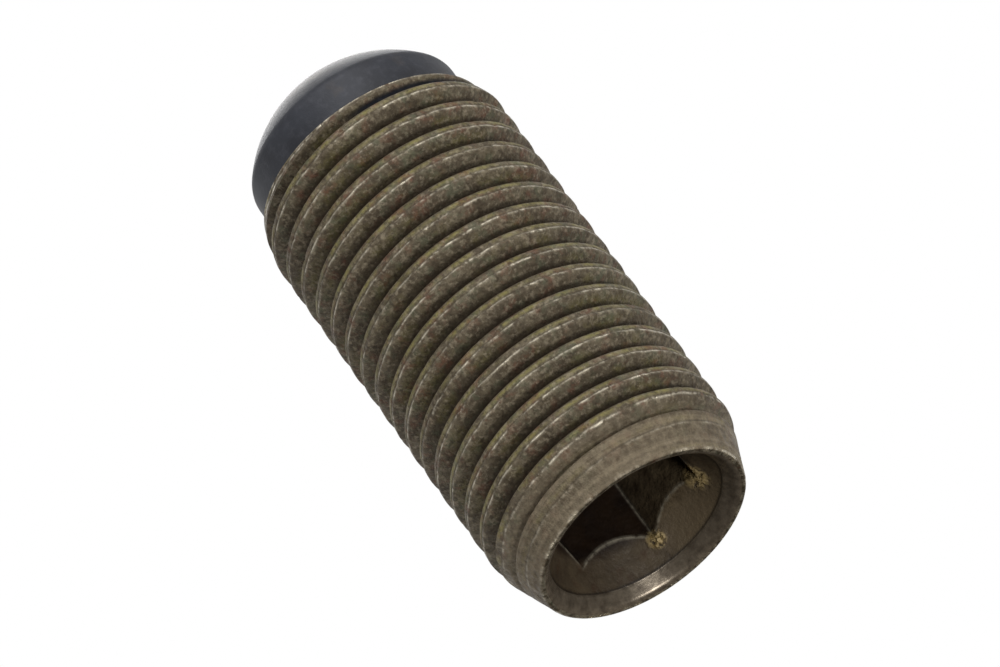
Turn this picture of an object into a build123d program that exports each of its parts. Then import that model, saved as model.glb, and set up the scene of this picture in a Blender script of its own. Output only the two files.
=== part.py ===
"""Adjusting screw: a headless screw with a domed nose at one end and a hexagon socket at the other.

It is turned from one bar and broached for a hexagon key. The body is turned to the crests of its
fine M12 x 1.25 thread, and the thread itself isn't cut here. The screw stands on the rim round its
socket, with the nose at the top. Units are millimetres.
"""

import os
from math import cos, radians, sqrt, tan

from build123d import *

# Body, as measured over the crests of the thread, and how deep the thread would be cut
crest_diameter = 11.8
thread_depth = 0.7

# Length, nose, a dome a little rounder than the body, and neck, just under the root of the thread
overall_length = 26.95
nose_over_body = 0.08
nose_shoulder_radius = 0.6
nose_length = 4.67
neck_under_root = 0.12
neck_corner_radius = 0.18

# Chamfers at the two ends of the thread
lead_chamfer_angle = 20.0
lead_chamfer_height = 0.38
end_chamfer_angle = 20.0
rim_under_root = 0.24
rim_outer_radius = 0.13

# Countersink, inside a rim of this width, and hexagon socket
rim_width = 0.335
countersink_angle = 70.0
rim_inner_radius = 0.30
socket_flats = 6.1
socket_depth = 8.0
drill_under_flats = 0.122
drill_point_angle = 120.0

body_radius = crest_diameter / 2
root_radius = body_radius - thread_depth
nose_radius = body_radius + nose_over_body
neck_radius = root_radius - neck_under_root
collar_height = overall_length - nose_length
collar_radius = body_radius - lead_chamfer_height
lead_height = collar_height - lead_chamfer_height / tan(radians(lead_chamfer_angle))
rim_radius = root_radius - rim_under_root
end_height = (body_radius - rim_radius) / tan(radians(end_chamfer_angle))
mouth_radius = rim_radius - rim_width
corner_radius = socket_flats / 2 / cos(radians(30))
seat_radius = socket_flats / 2 - drill_under_flats
seat_height = (mouth_radius - seat_radius) / tan(radians(countersink_angle / 2))

# The dome is one large arc, and a smaller one runs it into the neck
nose_centre = overall_length - nose_radius
shoulder_x = neck_radius - nose_shoulder_radius
shoulder_gap = nose_radius - nose_shoulder_radius
shoulder_z = nose_centre + sqrt(shoulder_gap**2 - shoulder_x**2)
blend_x = shoulder_x * nose_radius / shoulder_gap
blend_z = nose_centre + (shoulder_z - nose_centre) * nose_radius / shoulder_gap

with BuildPart() as adjusting_screw:
    # Turned body with its countersink, as half of its section
    with BuildSketch(Plane.XZ) as half_section:
        with BuildLine() as outline:
            nose_arc = RadiusArc((0, overall_length), (blend_x, blend_z), nose_radius)
            shoulder_arc = RadiusArc(nose_arc @ 1, (neck_radius, shoulder_z), nose_shoulder_radius)
            Polyline(
                shoulder_arc @ 1,
                (neck_radius, collar_height),
                (collar_radius, collar_height),
                (body_radius, lead_height),
                (body_radius, end_height),
                (rim_radius, 0),
                (mouth_radius, 0),
                (seat_radius, seat_height),
                (0, seat_height),
                (0, overall_length),
            )
        make_face()
        neck_corner = half_section.vertices().sort_by_distance((neck_radius, collar_height))[0]
        fillet(neck_corner, neck_corner_radius)
        rim_corner = half_section.vertices().sort_by_distance((rim_radius, 0))[0]
        fillet(rim_corner, rim_outer_radius)
        mouth_corner = half_section.vertices().sort_by_distance((mouth_radius, 0))[0]
        fillet(mouth_corner, rim_inner_radius)
    revolve(axis=Axis.Z)

    # Hexagon socket with two corners on the X axis, and the drilled hole's point under it
    with BuildSketch(Plane.XY):
        RegularPolygon(corner_radius, 6)
    extrude(amount=socket_depth, mode=Mode.SUBTRACT)
    point_depth = seat_radius / tan(radians(drill_point_angle / 2))
    with Locations((0, 0, socket_depth)):
        Cone(
            seat_radius,
            0,
            point_depth,
            align=(Align.CENTER, Align.CENTER, Align.MIN),
            mode=Mode.SUBTRACT,
        )

adjusting_screw.part.label = "adjusting_screw"

os.makedirs("parts", exist_ok=True)
export_step(adjusting_screw.part, "parts/adjusting_screw.step")
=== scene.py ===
"""Adjusting screw, seen from its socket end on a plain white ground."""

import math

import bmesh
import bpy
import numpy as np
from mathutils import Matrix, Vector, noise


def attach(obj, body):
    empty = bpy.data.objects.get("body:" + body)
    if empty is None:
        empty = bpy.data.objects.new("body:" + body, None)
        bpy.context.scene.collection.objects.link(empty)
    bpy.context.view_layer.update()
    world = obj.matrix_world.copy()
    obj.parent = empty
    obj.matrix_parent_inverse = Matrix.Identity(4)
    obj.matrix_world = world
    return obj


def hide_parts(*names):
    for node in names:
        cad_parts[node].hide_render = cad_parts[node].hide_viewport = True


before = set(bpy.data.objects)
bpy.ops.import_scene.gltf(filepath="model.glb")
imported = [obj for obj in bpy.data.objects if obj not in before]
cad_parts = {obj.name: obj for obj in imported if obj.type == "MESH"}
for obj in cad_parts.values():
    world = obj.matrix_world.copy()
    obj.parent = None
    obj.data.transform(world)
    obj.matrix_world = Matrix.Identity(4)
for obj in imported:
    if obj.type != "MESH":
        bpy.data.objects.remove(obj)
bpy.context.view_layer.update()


# Threaded body
# A bar of alloy steel with a rolled M12 x 1.25 right-hand thread. Rolling pushes the metal up from
# both sides, so each crest is broad and round, with a fine seam where its two lips meet. Lengths
# are in millimetres, heights from the rim round the socket, azimuths from a corner of the hexagon.

overall_length = 26.95
crest_radius = 5.9
root_radius = 5.24
pitch = 1.25
crest_height = 0.434

# Form of crest and root. A place across the thread is from the crest's middle, toward the nose.
crest_flat = 0.46
crest_crown = 0.5
crest_round = 0.1
root_round = 0.2
ridge_place = -0.11
seam_place = -0.05
seam_depth = 0.035
seam_width = 0.026

# Ends of the bar, at the rim and at the collar behind the nose
rim_radius = 4.96
rim_outer_round = 0.13
collar_height = 22.28
collar_radius = 5.52
chamfer_angle = 20
chamfer_slope = math.tan(math.radians(chamfer_angle))
chamfer_round = 0.03

columns = 216
azimuths = np.arange(columns) * 2 * np.pi / columns


def smooth_min(a, b, size):
    """The smaller of two values, with the change from one to the other rounded over this size."""
    blend = np.clip(0.5 + 0.5 * (b - a) / size, 0, 1)
    return b + (a - b) * blend - size * blend * (1 - blend)


def bump_at(value, middle, width):
    """1 at the middle, about a third at this width to either side, and 0 far away."""
    return np.exp(-(((value - middle) / width) ** 2))


def crest_at(turn, azimuth):
    """Height of the crest's middle on one of its turns, counted from the socket end."""
    return crest_height + pitch * (turn + azimuth / (2 * np.pi))


def across_thread(height, azimuth):
    """Distance along the screw from the middle of the nearest crest, positive toward the nose."""
    return (height - crest_at(0, azimuth) + pitch / 2) % pitch - pitch / 2


def bar_radius(height):
    """The bar as it is before rolling, inside its two chamfers."""
    end_chamfer = rim_radius + height * chamfer_slope
    lead_chamfer = collar_radius + (collar_height - height) * chamfer_slope
    return np.minimum(end_chamfer, lead_chamfer)


def threaded_radius(height, azimuth):
    """The 60 degree thread with its round crest, seam and root, inside the chamfered bar."""
    offset = across_thread(height, azimuth)
    flank = crest_radius + (crest_flat / 2 - np.abs(offset)) * math.sqrt(3)
    crown = crest_radius - crest_crown * (offset - ridge_place) ** 2
    thread = smooth_min(flank, crown, crest_round)
    thread = -smooth_min(-thread, -root_radius, root_round)
    thread = thread - seam_depth * bump_at(offset, seam_place, seam_width)
    return smooth_min(thread, bar_radius(height), chamfer_round)


class Skin:
    """Collects rings and strips of points round the axis, given as height and radius."""

    def __init__(self):
        self.points = []
        self.faces = []

    def strip(self, heights, radii, twist=0):
        """Joins rows of points. The end of each row meets the start of the one twist rows on."""
        heights, radii = np.broadcast_arrays(heights, radii + 0 * azimuths)
        first = sum(len(p) for p in self.points)
        rows = len(heights)
        xyz = np.stack([radii * np.cos(azimuths), radii * np.sin(azimuths), heights], -1)
        self.points.append(xyz.reshape(-1, 3))
        for column in range(columns):
            after = (column + 1) % columns
            ahead = twist if after == 0 else 0
            here = first + column + columns * np.arange(rows - 1 - ahead)
            there = first + after + columns * (np.arange(rows - 1 - ahead) + ahead)
            self.faces.append(np.stack([here, there, there + columns, here + columns], -1))


skin = Skin()

# Rows of points that climb with the thread, close together on the crest and far apart on a flank
crest_step = 0.035
flank_rows = (0.23, 0.34, 0.45, 0.54)
crest_rows = [crest_step * i for i in range(-5, 6)]
turn_rows = sorted(crest_rows + [side * x for side in (-1, 1) for x in flank_rows] + [pitch / 2])
turns = range(-2, math.ceil(collar_height / pitch) + 1)
thread_heights = np.array([crest_at(turn, azimuths) + x for turn in turns for x in turn_rows])

# The lowest row is where the end chamfer runs into the rounded rim
rim_tangent = rim_outer_round * math.tan(math.radians((90 - chamfer_angle) / 2))
lowest = rim_tangent * math.cos(math.radians(chamfer_angle))
thread_heights = np.clip(thread_heights, lowest, collar_height)
skin.strip(thread_heights, threaded_radius(thread_heights, azimuths), twist=len(turn_rows))


# Nose
# The far end of the bar is turned down to a short neck, a little under the root of the thread. A
# hollow corner is left at the collar, and the end is ground to a dome with a small round shoulder.

nose_radius = 5.98
nose_shoulder_radius = 0.6
neck_radius = 5.08
neck_corner = 0.18

step = np.linspace(0, 1, 6)[:, None]
collar_edge = threaded_radius(np.full(columns, collar_height), azimuths)
collar_face = neck_radius + (collar_edge - neck_radius) * (1 - step) ** 2
skin.strip(collar_height + neck_corner * step**2, collar_face)

nose_centre = overall_length - nose_radius
shoulder_x = neck_radius - nose_shoulder_radius
shoulder_gap = nose_radius - nose_shoulder_radius
shoulder_height = nose_centre + math.sqrt(shoulder_gap**2 - shoulder_x**2)
blend_angle = math.asin(shoulder_x / shoulder_gap)
skin.strip(np.linspace(collar_height + neck_corner, shoulder_height, 6)[:, None], neck_radius)
turn = np.linspace(math.pi / 2, blend_angle, 9)[:, None]
skin.strip(
    shoulder_height + nose_shoulder_radius * np.cos(turn),
    shoulder_x + nose_shoulder_radius * np.sin(turn),
)
turn = np.linspace(blend_angle, 0, 24)[:, None]
skin.strip(nose_centre + nose_radius * np.cos(turn), nose_radius * np.sin(turn))


# Rim and countersink
# The socket end is chamfered outside and countersunk inside on the lathe. What is left between is
# a narrow rim, rounded by wear, with a rubbed lip inside. The hexagon cuts the cone in six arcs.

mouth_radius = 4.625
rim_inner_round = 0.42
countersink_angle = 70
countersink_slope = math.tan(math.radians(countersink_angle / 2))
lip_depth = 0.66
lip_blend = 0.06
socket_flats = 6.1


def hexagon_radius(azimuth):
    """Radius of the socket's walls, whose corners start at azimuth 0."""
    return socket_flats / 2 / np.cos(azimuth % (math.pi / 3) - math.pi / 6)


def countersink_height(radius):
    """Height at which the cone has this radius."""
    return (mouth_radius - radius) / countersink_slope


outer_turn = np.radians(np.linspace(chamfer_angle, 90, 6))
outer_centre = rim_radius - rim_tangent
inner_turn = np.radians(np.linspace(90, 180 - countersink_angle / 2, 9))
inner_tangent = rim_inner_round * math.tan(math.radians((90 - countersink_angle / 2) / 2))
inner_centre = mouth_radius + inner_tangent
rim_radii = np.concatenate(
    [
        outer_centre + rim_outer_round * np.cos(outer_turn),
        inner_centre + rim_inner_round * np.cos(inner_turn),
    ]
)
rim_heights = np.concatenate(
    [
        rim_outer_round * (1 - np.sin(outer_turn)),
        rim_inner_round * (1 - np.sin(inner_turn)),
    ]
)
skin.strip(rim_heights[:, None], rim_radii[:, None])

# Level rings down to a little past the lip, so that the lip's edge is a true circle
cone_top = lip_depth + 2 * lip_blend
upper_rings = (0.35, 0.52)
lip_rings = (lip_depth - lip_blend, lip_depth, lip_depth + lip_blend)
rings = np.array([rim_heights[-1], *upper_rings, *lip_rings, cone_top])[:, None]
skin.strip(rings, mouth_radius - rings * countersink_slope)

# Rows that bend more and more to the arcs where the hexagon cuts the cone
hexagon = hexagon_radius(azimuths)
arc_height = countersink_height(hexagon)
step = np.array([0, 0.08, 0.17, 0.26, 0.36, 0.46, 0.56, 0.66, 0.76, 0.85, 0.92, 0.97])[:, None]
cone_heights = cone_top + (arc_height - cone_top) * step
cone_radii = mouth_radius - cone_heights * countersink_slope
skin.strip(cone_heights, cone_radii)


# Hexagon socket
# The key's hexagon is punched 8 mm deep into a drilled hole that is hardly smaller than its flats,
# so the punch cuts little more than the corners. The drill's point is left in the floor.

socket_depth = 8.0
drill_under_flats = 0.122
drill_radius = socket_flats / 2 - drill_under_flats
drill_point_angle = 120
drill_slope = math.tan(math.radians(drill_point_angle / 2))
edge_round = 0.05

# The edge between cone and wall is broken by one row that cuts its corner
wall_top = arc_height + edge_round
skin.strip(
    np.stack([cone_heights[-1], arc_height + 0.3 * edge_round, wall_top]),
    np.stack([cone_radii[-1], hexagon + 0.15 * edge_round, hexagon]),
)
step = np.array([0, 0.02, 0.06, 0.12, 0.2, 0.3, 0.4, 0.52, 0.64, 0.76, 0.88, 1])[:, None]
skin.strip(wall_top + (socket_depth - wall_top) * step, hexagon + 0 * step)
step = np.linspace(0, 1, 4)[:, None]
skin.strip(socket_depth + 0 * step, hexagon + (drill_radius - hexagon) * step)
step = np.linspace(0, 1, 8)[:, None]
skin.strip(socket_depth + drill_radius / drill_slope * step, drill_radius * (1 - step))


# Whole screw
# All of it is one piece of steel, so the strips are joined to one skin. Rolling and handling have
# left slow waves and small chips in the thread, and a burr where it starts.

screw_mesh = bpy.data.meshes.new("adjusting_screw_surface")
screw_mesh.from_pydata(np.concatenate(skin.points) / 1000, [], np.concatenate(skin.faces).tolist())
work = bmesh.new()
work.from_mesh(screw_mesh)
bmesh.ops.remove_doubles(work, verts=work.verts, dist=2e-6)
bmesh.ops.recalc_face_normals(work, faces=work.faces)
work.to_mesh(screw_mesh)
work.free()

count = len(screw_mesh.vertices)
flat_points = np.empty(count * 3, np.float32)
screw_mesh.vertices.foreach_get("co", flat_points)
points = flat_points.reshape(-1, 3).astype(float) * 1000
radius = np.hypot(points[:, 0], points[:, 1])
azimuth = np.arctan2(points[:, 1], points[:, 0]) % (2 * np.pi)
height = points[:, 2]
across = across_thread(height, azimuth)

# Points on the thread and its chamfers, and how far each stands above the root, from 0 to 1
edge_margin = 0.02
rim_clear = 0.12
outside = (radius > rim_radius - edge_margin) & (height > rim_clear)
outside = outside & (height < collar_height - edge_margin)
bar = np.minimum(bar_radius(height), crest_radius)
above_root = np.clip(1 - (bar - radius) / (crest_radius - root_radius), 0, 1) * outside

# The burr is a small dent, with a painted glint, where the thread starts beside the nose, 2 degrees to
# each side
start_turn = 16
burr_azimuth = math.radians(183)
burr_beyond_crest = 0.11
burr_width = 0.035
burr_length = 0.09
burr_depth = 0.16
burr_height = crest_at(start_turn, burr_azimuth) + burr_beyond_crest
burr_dent = bump_at(azimuth, burr_azimuth, burr_width) * bump_at(height, burr_height, burr_length)

# Slow waves and ripples in the whole thread, and chips that are deepest on its crests
waves_per_mm = 0.55
ripples_per_mm = 1.7
chips_per_mm = 3.1
wave_depth = 0.016
ripple_depth = 0.012
chip_depth = 0.16
chip_level = 0.36
ridge_wander = 0.05
knocks = burr_depth * burr_dent
wander = np.zeros(count)
for i in np.nonzero(outside)[0]:
    place = Vector(points[i])
    wave = noise.noise(place * waves_per_mm)
    ripple = noise.noise(place * ripples_per_mm + Vector((2, 9, 4)))
    chip = noise.noise(place * chips_per_mm + Vector((7, 3, 1)))
    knocks[i] += wave_depth * abs(wave) + ripple_depth * abs(ripple)
    knocks[i] += chip_depth * max(chip - chip_level, 0) * above_root[i]
    wander[i] = ridge_wander * ripple
shrink = np.where(outside, 1 - knocks / np.maximum(radius, 1), 1.0)
points[:, :2] *= shrink[:, None]
screw_mesh.vertices.foreach_set("co", (points / 1000).astype(np.float32).ravel())
screw_mesh.update()


def painted(name, values):
    """Keeps one number a point on the mesh, for the materials to read."""
    layer = screw_mesh.attributes.new(name, "FLOAT", "POINT")
    layer.data.foreach_set("value", np.clip(np.asarray(values, np.float32), 0, 1))


# Worn bare, with a painted glint: a line along each crest, fainter near the socket, the collar's edge,
# rim and burr
ridge_line_width = 0.045
ridge_line_from = 1.2
faintest_line = 0.35
collar_line_width = 0.04
collar_line_radius = 5.3
rim_line_width = 0.07
rim_line_radius = mouth_radius + 0.1
rim_wear_and_glint = 1.5
burr_wear_and_glint = 1.2
crest_from = 0.7
on_crest = outside * (above_root > crest_from)
ridge_line = bump_at(across + wander, ridge_place, ridge_line_width) * on_crest
ridge_line = ridge_line * np.clip(height - ridge_line_from, faintest_line, 1)
collar_line = bump_at(height, collar_height, collar_line_width) * (radius > collar_line_radius)
rim_line = bump_at(height, 0.0, rim_line_width) * (radius > rim_line_radius)
painted("wear_and_glint", ridge_line + collar_line + rim_wear_and_glint * rim_line + burr_wear_and_glint * burr_dent)

# The shadow in the seam, and the lip of the crest that faces the nose
seam_shadow_place = -0.06
seam_shadow_width = 0.03
nose_lip_place = 0.12
nose_lip_width = 0.11
painted("seam", bump_at(across, seam_shadow_place, seam_shadow_width) * on_crest)
painted("nose_lip", bump_at(across, nose_lip_place, nose_lip_width) * on_crest)
painted("thread_height", np.where(outside, above_root, 1.0))

# The end chamfer, which fades out over the first crest
end_chamfer_top = 2.4
end_chamfer_fade = 0.9
end_chamfer_radius = 4.9
on_end_chamfer = np.clip((end_chamfer_top - height) / end_chamfer_fade, 0, 1)
painted("end_chamfer", on_end_chamfer * (radius > end_chamfer_radius))

# Pale worn lines on the arcs in the countersink, and a painted highlight down the hexagon's far corner,
# at azimuth 0
arc_line_height = 0.06
arc_line_width = 0.08
corner_line_width = 0.03
corner_line_depth = 6
corner_glint_share = 0.7
corner_radius = socket_flats / math.sqrt(3)
wall_here = hexagon_radius(azimuth)
arc_line = bump_at(height, countersink_height(wall_here), arc_line_height)
arc_line = arc_line * bump_at(radius, wall_here, arc_line_width)
from_far_corner = (azimuth + math.pi) % (2 * math.pi) - math.pi
corner_glint = bump_at(radius, corner_radius, corner_line_width)
corner_glint = corner_glint * bump_at(from_far_corner, 0, corner_line_width)
corner_glint = corner_glint * (height < corner_line_depth)
painted("arc_wear_and_corner_glint", arc_line + corner_glint_share * corner_glint)

# The rubbed lip inside the rim, the dark line under it, and dust with painted light on the side turned
# to the light
lip_line_width = 0.05
dust_and_light_azimuth = math.radians(325)
dust_and_light_spread = math.radians(38)
within_rim = radius < rim_radius
painted("lip", (height < lip_depth - edge_margin) * within_rim)
painted("lip_line", bump_at(height, lip_depth, lip_line_width) * within_rim)
painted("dust_and_painted_light", bump_at(azimuth, dust_and_light_azimuth, dust_and_light_spread) * within_rim)

# Dirt packed in two corners of the hexagon, each with its azimuth in degrees, height and reach
packed_corners = ((0, 1.5, 0.36), (300, 1.75, 0.62))
crust = np.zeros(count)
for corner_degrees, corner_height, reach in packed_corners:
    corner_turn = math.radians(corner_degrees)
    corner_x = corner_radius * math.cos(corner_turn)
    corner_y = corner_radius * math.sin(corner_turn)
    away = np.linalg.norm(points - np.array((corner_x, corner_y, corner_height)), axis=1)
    crust = np.maximum(crust, bump_at(away, 0, reach) * (radius < mouth_radius))
painted("crust", crust)

# The nose's bluing runs on into the start of the groove beside it, for about half a turn
groove_start = 184
groove_fade_in = 12
groove_end = 200
groove_fade_out = 60
groove_from = 20.9
groove_radius = 5.5
groove_beyond_crest = 0.12
groove_degrees = (np.degrees(azimuth) - groove_start) % 360
fade_in = np.clip(groove_degrees / groove_fade_in, 0, 1)
fade_out = np.clip((groove_end - groove_degrees) / groove_fade_out, 0, 1)
start_crest = crest_at(start_turn, np.radians(groove_degrees + groove_start))
first_groove = outside & (height > groove_from) & (radius < groove_radius)
first_groove = first_groove & (height > start_crest + groove_beyond_crest)
on_nose = height > collar_height + edge_margin
painted("blued", np.where(on_nose, 1.0, first_groove * fade_in * fade_out))

# The first material is for the outside, and the second for all that lies within the rim
socket_finish_radius = rim_radius - 0.2
socket_finish_top = 12
sharp_angle = 52
face_count = len(screw_mesh.polygons)
centres = np.empty(face_count * 3, np.float32)
screw_mesh.polygons.foreach_get("center", centres)
centres = centres.reshape(-1, 3) * 1000
inside = np.hypot(centres[:, 0], centres[:, 1]) < socket_finish_radius
inside = inside & (centres[:, 2] < socket_finish_top)
screw_mesh.polygons.foreach_set("material_index", inside.astype(np.int32))
screw_mesh.shade_smooth()
screw_mesh.set_sharp_from_angle(angle=math.radians(sharp_angle))

screw = bpy.data.objects.new("screw_with_thread", screw_mesh)
bpy.context.scene.collection.objects.link(screw)
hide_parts("adjusting_screw")
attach(screw, "root")


# Finish of the outside
# Rolled and hardened steel keeps a dark brown oxide with a film of old oil. To the eye it is a dull
# skin with soft lights, olive on the lips of the crests and rubbed to bare steel along their ridges,
# with a painted glint there.
# The dome and neck are ground and blued, to a satin blue-grey.


def linear(hex_colour):
    """An sRGB colour such as #808080, as the linear red, green, blue and alpha that nodes take."""
    parts = [int(hex_colour[i : i + 2], 16) / 255 for i in (1, 3, 5)]
    return [p / 12.92 if p <= 0.04045 else ((p + 0.055) / 1.055) ** 2.4 for p in parts] + [1.0]


def add(tree, kind, inputs=None, **settings):
    """Adds a node. Each input takes a value, an sRGB colour or another node's output."""
    node = tree.nodes.new(kind)
    for name, value in settings.items():
        setattr(node, name, value)
    for name, value in (inputs or {}).items():
        if isinstance(value, bpy.types.NodeSocket):
            tree.links.new(value, node.inputs[name])
        else:
            node.inputs[name].default_value = linear(value) if isinstance(value, str) else value
    return node.outputs


def patches(tree, place, size_mm, low=0.35, high=0.65, faint=0.0, full=1.0, detail=4.0):
    """Mottling of about size_mm, faint below one level of its noise and full above another."""
    grain = {"Vector": place, "Scale": 1000 / size_mm, "Detail": detail, "Roughness": 0.6}
    grain = add(tree, "ShaderNodeTexNoise", grain)["Fac"]
    levels = {"Value": grain, "From Min": low, "From Max": high, "To Min": faint, "To Max": full}
    return add(tree, "ShaderNodeMapRange", levels)["Result"]


def stain(tree, under, colour, share, cover=1.0):
    """Lays a colour over a finish, where its share says and as thickly as its cover says."""
    share = add(tree, "ShaderNodeMath", {0: share, 1: cover}, operation="MULTIPLY")["Value"]
    return add(tree, "ShaderNodeMix", {0: share, 6: under, 7: colour}, data_type="RGBA")[2]


def steel(name, painted_names):
    """A material with its nodes, the place on the screw in metres, the paint and the surface."""
    made = bpy.data.materials.new(name)
    made.use_nodes = True
    tree = made.node_tree
    place = add(tree, "ShaderNodeTexCoord")["Object"]
    paint = {p: add(tree, "ShaderNodeAttribute", attribute_name=p)["Fac"] for p in painted_names}
    return made, tree, place, paint, tree.nodes["Principled BSDF"]


painted_names = ("thread_height", "blued", "end_chamfer", "nose_lip", "seam", "wear_and_glint")
outer_steel, tree, place, paint, surface = steel("rolled_steel_dark_oxide", painted_names)
from_rim = add(tree, "ShaderNodeSeparateXYZ", {"Vector": place})["Z"]

# Oxide in blotches of 1 to 2 mm, mottled at half a millimetre, with olive oil on lips and flanks
oxide = stain(tree, "#463d2f", "#5d5443", patches(tree, place, 1.7))
oxide = stain(tree, oxide, "#352c20", patches(tree, place, 0.5, 0.42, 0.66, full=0.75))
oily_lip = patches(tree, place, 1.3, 0.4, 0.58, full=0.7)
oxide = stain(tree, oxide, "#77703f", paint["nose_lip"], oily_lip)
below_crest = {"Value": paint["thread_height"], "From Min": 1.0, "From Max": 0.5}
below_crest = add(tree, "ShaderNodeMapRange", below_crest)["Result"]
oily_flank = patches(tree, place, 2.2, 0.5, 0.62, full=0.55)
oxide = stain(tree, oxide, "#57512d", below_crest, oily_flank)

# Rust brown, greenish, pale and dark specks over it, each with its colour, size, two levels of the
# noise and cover. The last two are scale of a few hundredths of a millimetre, which is too fine to
# show, so they are drawn at about 0.2 mm
specks = (
    ("#59392b", 0.8, 0.53, 0.66, 0.6),
    ("#474c3a", 0.7, 0.54, 0.66, 0.5),
    ("#7c7260", 0.22, 0.5, 0.66, 0.6),
    ("#332b20", 0.19, 0.5, 0.64, 0.65),
)
for colour, size_mm, low, high, full in specks:
    oxide = stain(tree, oxide, colour, patches(tree, place, size_mm, low, high, full=full))

# The end chamfer is paler and coarser, with lines left by the lathe
lathe_line_spacing = 0.3
chamfer_oxide = stain(tree, "#473d2f", "#6d6250", patches(tree, place, 0.3))
oxide = stain(tree, oxide, chamfer_oxide, paint["end_chamfer"], 0.65)
lathe_lines = {"W": from_rim, "Scale": 1000 / lathe_line_spacing, "Detail": 4.0}
lathe_lines = add(tree, "ShaderNodeTexNoise", lathe_lines, noise_dimensions="1D")["Fac"]
lathe_lines = {"Value": lathe_lines, "From Min": 0.45, "From Max": 0.65, "To Max": 0.3}
lathe_lines = add(tree, "ShaderNodeMapRange", lathe_lines)["Result"]
oxide = stain(tree, oxide, "#877b66", paint["end_chamfer"], lathe_lines)
# Painted shadow in the seam along each crest
oxide = stain(tree, oxide, "#2c2418", paint["seam"], 0.6)

# Bluing with faint clouds and brown stains, rubbed paler toward the tip of the dome
rubbed_from = 24.4
rubbed_full = 26.2
bluing = stain(tree, "#1b1c21", "#292b31", patches(tree, place, 2.8))
bluing = stain(tree, bluing, "#3b3b40", patches(tree, place, 0.35, 0.5, 0.75, full=0.35))
bluing = stain(tree, bluing, "#372f27", patches(tree, place, 1.9, 0.58, 0.75, full=0.5))
toward_tip = {"Value": from_rim, "From Min": rubbed_from / 1000, "From Max": rubbed_full / 1000}
toward_tip = add(tree, "ShaderNodeMapRange", toward_tip)["Result"]
bluing = stain(tree, bluing, "#5a5148", toward_tip, patches(tree, place, 0.5, 0.3, 0.7))

# Grease with painted shade deep in the grooves, and broken lines of bare steel where the screw is worn,
# with a painted glint on them
finish = stain(tree, oxide, bluing, paint["blued"])
groove_shade_and_grease = {"Value": paint["thread_height"], "From Min": 0.42, "From Max": 0.05}
groove_shade_and_grease = add(tree, "ShaderNodeMapRange", groove_shade_and_grease)["Result"]
finish = stain(tree, finish, "#30271b", groove_shade_and_grease)
breaks = {0: patches(tree, place, 0.9, 0.4, 0.58), 1: patches(tree, place, 0.3, 0.38, 0.56)}
breaks = add(tree, "ShaderNodeMath", breaks, operation="MULTIPLY")["Value"]
bare_and_glint = add(tree, "ShaderNodeMath", {0: paint["wear_and_glint"], 1: breaks}, operation="MULTIPLY")["Value"]
tree.links.new(stain(tree, finish, "#b5ad9b", bare_and_glint), surface.inputs["Base Color"])

# Oxide and oil hide most of the metal, the bluing is satin, and only bare steel is smooth metal
oxide_roughness = patches(tree, place, 0.5, faint=0.5, full=0.68)
oxide_metallic = patches(tree, place, 0.9, faint=0.1, full=0.3)
for socket, on_oxide, on_bluing, on_bare in (
    ("Roughness", oxide_roughness, 0.52, 0.22),
    ("Metallic", oxide_metallic, 0.12, 0.9),
):
    unworn = add(tree, "ShaderNodeMix", {0: paint["blued"], 2: on_oxide, 3: on_bluing})[0]
    amount = add(tree, "ShaderNodeMix", {0: bare_and_glint, 2: unworn, 3: on_bare})[0]
    tree.links.new(amount, surface.inputs[socket])
surface.inputs["Specular IOR Level"].default_value = 0.22

# Relief in millimetres: pits in the oxide, scale on the end chamfer, and a fine grain everywhere.
# The pits and grain are a few hundredths of a millimetre wide, and are drawn coarser so they show
pits = patches(tree, place, 0.16, full=0.03, detail=5.0)
pits = add(tree, "ShaderNodeMix", {0: paint["blued"], 2: pits, 3: 0.0})[0]
scale = {0: patches(tree, place, 0.3, full=0.03, detail=5.0), 1: paint["end_chamfer"]}
scale = add(tree, "ShaderNodeMath", scale, operation="MULTIPLY")["Value"]
relief = add(tree, "ShaderNodeMath", {0: pits, 1: scale}, operation="ADD")["Value"]
fine_grain = patches(tree, place, 0.09, full=0.003, detail=3.0)
relief = add(tree, "ShaderNodeMath", {0: relief, 1: fine_grain}, operation="ADD")["Value"]
bump = add(tree, "ShaderNodeBump", {"Strength": 1.0, "Distance": 0.001, "Height": relief})
tree.links.new(bump["Normal"], surface.inputs["Normal"])
screw_mesh.materials.append(outer_steel)


# Finish of the socket
# The steel inside is drilled, countersunk and punched, and keeps a dull oxide with old grease. To
# the eye it is brown, and nearly black down in the hexagon, where shade is painted. The lip is rubbed
# lighter and smoother and partly painted lighter, the arcs show as thin pale worn lines with a painted
# highlight down one corner, one side is painted paler where light falls, and sandy dirt is packed in
# two of the corners.

painted_names = ("dust_and_painted_light", "lip", "lip_line", "arc_wear_and_corner_glint", "crust")
socket_steel, tree, place, paint, surface = steel("punched_steel_dull_oxide", painted_names)
from_rim = add(tree, "ShaderNodeSeparateXYZ", {"Vector": place})["Z"]

# Oxide of the countersink in blotches, with rust, dust and painted light on one side, and the lighter
# lip
dull = stain(tree, "#463b2d", "#584c3a", patches(tree, place, 1.5))
dull = stain(tree, dull, "#33291c", patches(tree, place, 0.5, 0.48, 0.7, full=0.6))
dull = stain(tree, dull, "#57402e", patches(tree, place, 1.0, 0.56, 0.7, full=0.4))
dull = stain(tree, dull, "#7a6b54", paint["dust_and_painted_light"], 0.6)
# The lip is rubbed lighter, and its colour is raised further as painted light
rubbed_and_lit_lip = stain(tree, "#6a6053", "#8d8272", patches(tree, place, 0.4))
dull = stain(tree, dull, rubbed_and_lit_lip, paint["lip"])
dull = stain(tree, dull, "#1f1811", paint["lip_line"], 0.85)

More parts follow.
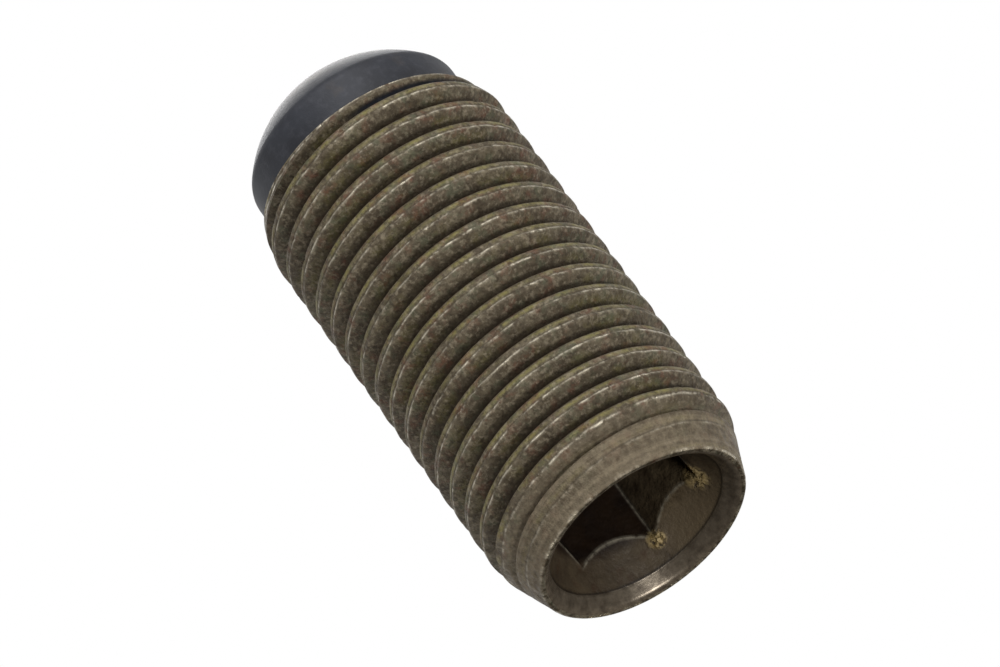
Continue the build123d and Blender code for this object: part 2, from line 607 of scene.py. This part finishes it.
# Walls of the hexagon, which are darker than the countersink: painted shade of the deep socket over its
# oxide
walls_from = 1.7
walls_full = 2.1
walls = stain(tree, "#1c120a", "#2b1e13", patches(tree, place, 0.9))
# Dust and painted light on the side of the walls turned to the light
dusty_lit_wall = stain(tree, "#4a3d2c", "#75664e", patches(tree, place, 0.6))
walls = stain(tree, walls, dusty_lit_wall, paint["dust_and_painted_light"])
on_walls = {"Value": from_rim, "From Min": walls_from / 1000, "From Max": walls_full / 1000}
on_walls = add(tree, "ShaderNodeMapRange", on_walls)["Result"]
dull = stain(tree, dull, walls, on_walls)

# Pale worn arcs with a painted highlight down the far corner, and the dirt
broken_arc = patches(tree, place, 0.35, 0.3, 0.55, full=0.8)
dull = stain(tree, dull, "#a29a88", paint["arc_wear_and_corner_glint"], broken_arc)
clods = {0: paint["crust"], 1: patches(tree, place, 0.3, 0.3, 0.52)}
dirt = add(tree, "ShaderNodeMath", clods, operation="MULTIPLY")["Value"]
sand = stain(tree, "#86703f", "#c4ae80", patches(tree, place, 0.15))
on_dirt = {"Value": dirt, "From Min": 0.15, "From Max": 0.45}
on_dirt = add(tree, "ShaderNodeMapRange", on_dirt)["Result"]
tree.links.new(stain(tree, dull, sand, on_dirt), surface.inputs["Base Color"])

# The lip is half bare steel
dull_roughness = patches(tree, place, 0.4, faint=0.5, full=0.7)
for socket, on_dull, on_lip in (("Roughness", dull_roughness, 0.27), ("Metallic", 0.15, 0.5)):
    amount = add(tree, "ShaderNodeMix", {0: paint["lip"], 2: on_dull, 3: on_lip})[0]
    tree.links.new(amount, surface.inputs[socket])
surface.inputs["Specular IOR Level"].default_value = 0.3

# Relief in millimetres: grain of the oxide, much fainter on the lip, and the lumps of dirt
oxide_relief = 0.014
lip_relief = 0.15 * oxide_relief
dirt_relief = 0.15
depth = add(tree, "ShaderNodeMix", {0: paint["lip"], 2: oxide_relief, 3: lip_relief})[0]
grain = {0: patches(tree, place, 0.2, detail=5.0), 1: depth}
grain = add(tree, "ShaderNodeMath", grain, operation="MULTIPLY")["Value"]
lumps = add(tree, "ShaderNodeMath", {0: dirt, 1: dirt_relief}, operation="MULTIPLY")["Value"]
relief = add(tree, "ShaderNodeMath", {0: grain, 1: lumps}, operation="ADD")["Value"]
bump = add(tree, "ShaderNodeBump", {"Strength": 1.0, "Distance": 0.001, "Height": relief})
tree.links.new(bump["Normal"], surface.inputs["Normal"])
screw_mesh.materials.append(socket_steel)


# Camera
# The screw is seen from its socket end, from 31 degrees below, with its axis running down to the
# right in the picture. The long lens keeps the crests nearly parallel.

tilt = 31.4
socket_corner_turn = 184.7
picture_roll = -36.21
focal_length = 401.2
sensor_width = 36.0
distance = 469.4
middle_height = 12.16
aim_right = 0.145
aim_up = -0.035

tilt_rad = math.radians(tilt)
corner_rad = math.radians(socket_corner_turn)
level = Vector((math.cos(corner_rad), math.sin(corner_rad), 0))
toward = level * math.cos(tilt_rad) - Vector((0, 0, math.sin(tilt_rad)))
level_right = Vector((0, 0, 1)).cross(toward).normalized()
level_up = toward.cross(level_right)
roll = math.radians(picture_roll)
right = level_right * math.cos(roll) + level_up * math.sin(roll)
up = toward.cross(right)
middle = Vector((0, 0, middle_height))


def seen(across_mm, up_mm, toward_mm):
    """A place in metres, from the middle of the screw, as the camera sees it."""
    return (middle + right * across_mm + up * up_mm + toward * toward_mm) / 1000


camera_data = bpy.data.cameras.new("camera")
camera_data.sensor_width = sensor_width
camera_data.lens = focal_length
camera_data.clip_start = 0.01
camera_data.clip_end = 5
camera = bpy.data.objects.new("camera", camera_data)
axes = Matrix((right, up, toward)).transposed().to_4x4()
camera.matrix_world = Matrix.Translation(seen(aim_right, aim_up, distance)) @ axes
bpy.context.scene.collection.objects.link(camera)
bpy.context.scene.camera = camera


# Studio
# A matt white board under the rim, in a white tent with soft lamps. The board is clear from below,
# so that the camera sees the screw through it.

floor_half_width = 600
corner_signs = ((-1, -1), (1, -1), (1, 1), (-1, 1))
floor_corners = [(x * floor_half_width / 1000, y * floor_half_width / 1000, 0) for x, y in corner_signs]
floor_mesh = bpy.data.meshes.new("floor")
floor_mesh.from_pydata(floor_corners, [], [(0, 1, 2, 3)])
floor = bpy.data.objects.new("floor", floor_mesh)
bpy.context.scene.collection.objects.link(floor)
floor_paint = bpy.data.materials.new("matt_white_board")
floor_paint.use_nodes = True
tree = floor_paint.node_tree
board = tree.nodes["Principled BSDF"]
board.inputs["Base Color"].default_value = linear("#fafafa")
board.inputs["Roughness"].default_value = 0.9
clear = add(tree, "ShaderNodeBsdfTransparent")[0]
unseen = {
    0: add(tree, "ShaderNodeNewGeometry")["Backfacing"],
    1: add(tree, "ShaderNodeLightPath")["Is Shadow Ray"],
}
unseen = add(tree, "ShaderNodeMath", unseen, operation="MAXIMUM")["Value"]
shown = add(tree, "ShaderNodeMixShader", {0: unseen, 1: board.outputs[0], 2: clear})[0]
tree.links.new(shown, tree.nodes["Material Output"].inputs["Surface"])
floor_mesh.materials.append(floor_paint)

# The tent lights the screw gently, and is full white to the camera and in reflections
world = bpy.data.worlds.new("white_tent")
world.use_nodes = True
bpy.context.scene.world = world
tree = world.node_tree
tent = tree.nodes["Background"]
tent.inputs["Color"].default_value = linear("#ffffff")
tent.inputs["Strength"].default_value = 0.42
backdrop = add(tree, "ShaderNodeBackground", {"Color": "#ffffff", "Strength": 1.0})[0]
path = add(tree, "ShaderNodeLightPath")
white = {0: path["Is Camera Ray"], 1: path["Is Glossy Ray"]}
white = add(tree, "ShaderNodeMath", white, operation="MAXIMUM")["Value"]
white = {0: white, 1: path["Is Transmission Ray"]}
white = add(tree, "ShaderNodeMath", white, operation="MAXIMUM")["Value"]
both = add(tree, "ShaderNodeMixShader", {0: white, 1: tent.outputs[0], 2: backdrop})[0]
tree.links.new(both, tree.nodes["World Output"].inputs["Surface"])


def soft_lamp(name, place_seen, long_mm, short_mm, watts):
    """A lamp with a rectangular face, long across the screw, that faces its middle."""
    data = bpy.data.lights.new(name, "AREA")
    data.shape = "RECTANGLE"
    data.size = long_mm / 1000
    data.size_y = short_mm / 1000
    data.energy = watts
    lamp = bpy.data.objects.new(name, data)
    place_now = seen(*place_seen)
    away = (place_now - middle / 1000).normalized()
    long_side = Vector((0, 0, 1)).cross(away).normalized()
    short_side = away.cross(long_side)
    turned = Matrix((long_side, short_side, away)).transposed().to_4x4()
    lamp.matrix_world = Matrix.Translation(place_now) @ turned
    bpy.context.scene.collection.objects.link(lamp)


soft_lamp("key_lamp", (-79, 263, 122), 240, 90, 0.75)
soft_lamp("front_lamp", (177, -65, 282), 75, 75, 0.6)
soft_lamp("back_lamp", (-75, 100, -280), 160, 100, 0.3)

bpy.context.scene.view_settings.view_transform = "Standard"
